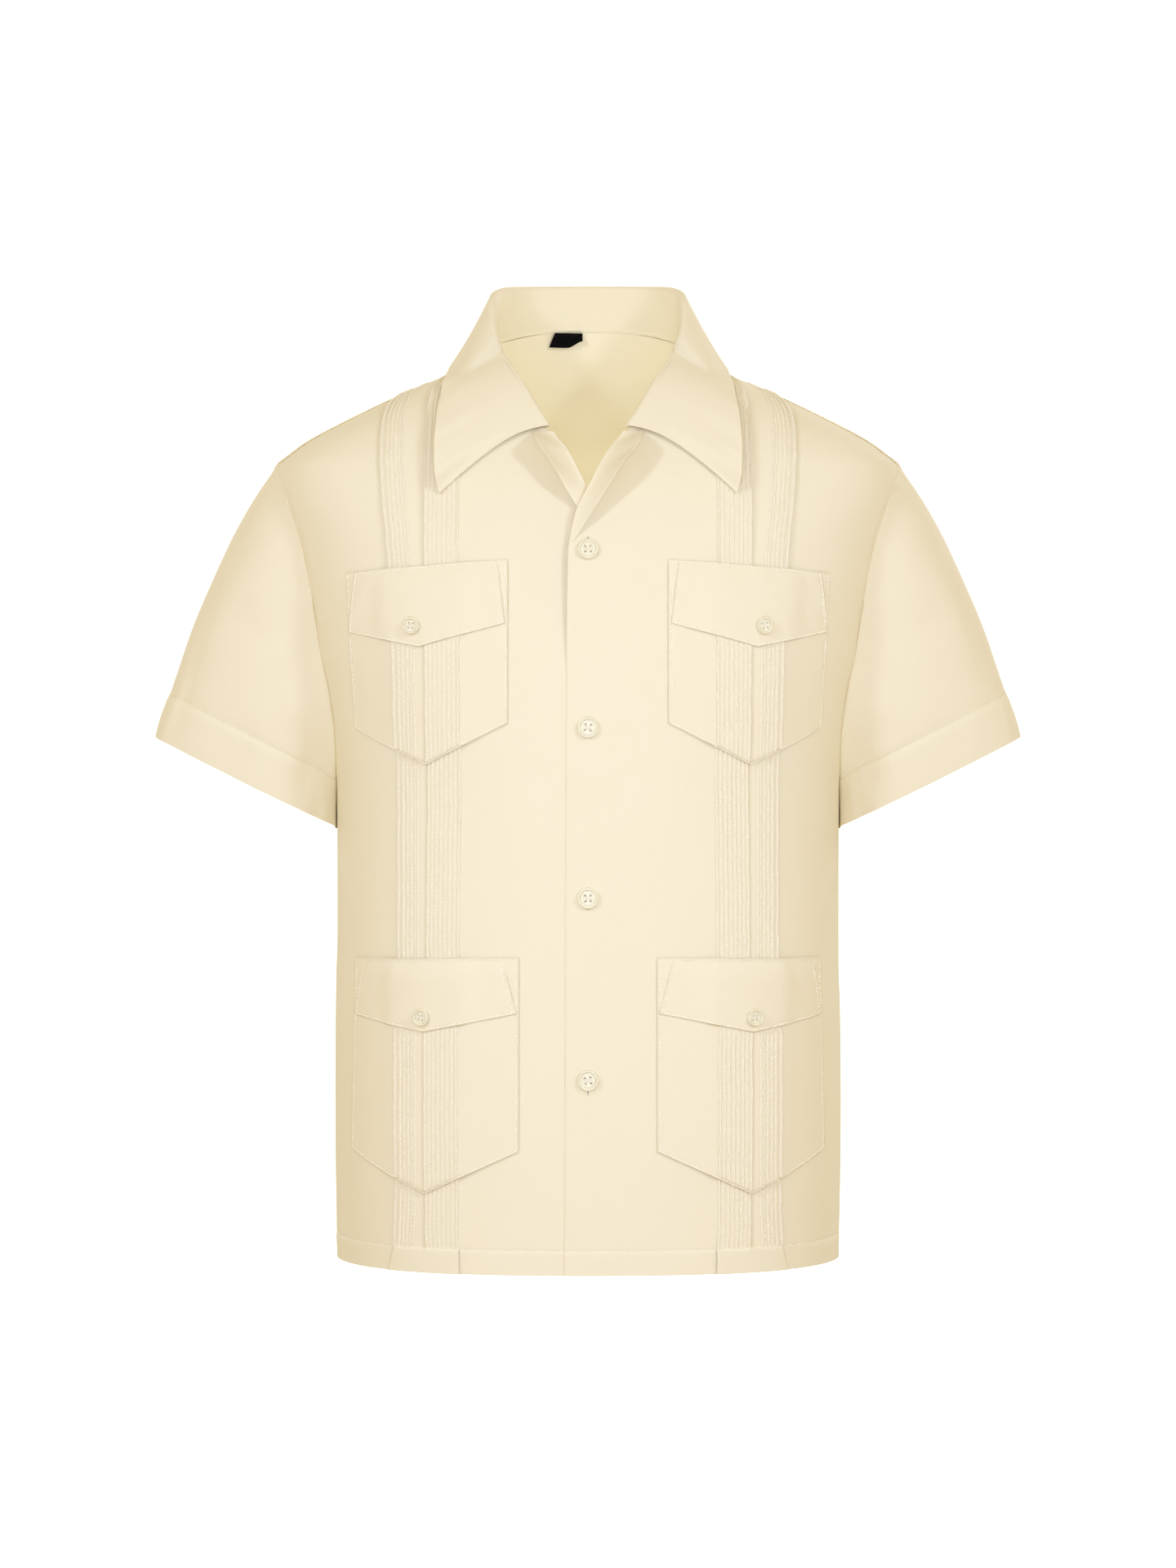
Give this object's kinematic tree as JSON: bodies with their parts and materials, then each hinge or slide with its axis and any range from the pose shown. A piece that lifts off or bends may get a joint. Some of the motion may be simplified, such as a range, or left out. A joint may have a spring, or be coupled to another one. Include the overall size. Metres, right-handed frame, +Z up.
{
  "type": "guayabera shirt",
  "caption": "Cream short-sleeved guayabera shirt, filled out and hollow, with tucked front bands, patch pockets with buttoned flaps and an open camp collar.",
  "frame": {"origin": "on the centre line between the shoulders, level with the foot of the collar beside the neck, where the wearer's neck and shoulders carry the shirt", "axes": "+Z up, the front faces -Y, +X towards the wearer's left"},
  "size_m": [0.698, 0.2737, 0.789],
  "materials": {
    "cream_cotton": "matte, smooth fine plain weave",
    "cream_button": "satin",
    "black_tab": "matte, bare"
  },
  "bodies": {
    "root": {"back": "cream_cotton", "collar": "cream_cotton", "size_tab": "black_tab", "front_button_1": "cream_button", "front_button_2": "cream_button", "front_button_3": "cream_button", "front_button_4": "cream_button", "front_left": "cream_cotton", "revers_left": "cream_cotton", "sleeve_left": "cream_cotton", "tuck_band_left": "cream_cotton", "pocket_upper_left": "cream_cotton", "pocket_tucks_upper_left": "cream_cotton", "flap_upper_left": "cream_cotton", "pocket_lower_left": "cream_cotton", "pocket_tucks_lower_left": "cream_cotton", "flap_lower_left": "cream_cotton", "flap_button_upper_left": "cream_button", "flap_button_lower_left": "cream_button", "front_right": "cream_cotton", "revers_right": "cream_cotton", "sleeve_right": "cream_cotton", "tuck_band_right": "cream_cotton", "pocket_upper_right": "cream_cotton", "pocket_tucks_upper_right": "cream_cotton", "flap_upper_right": "cream_cotton", "pocket_lower_right": "cream_cotton", "pocket_tucks_lower_right": "cream_cotton", "flap_lower_right": "cream_cotton", "flap_button_upper_right": "cream_button", "flap_button_lower_right": "cream_button"}
  },
  "joints": []
}
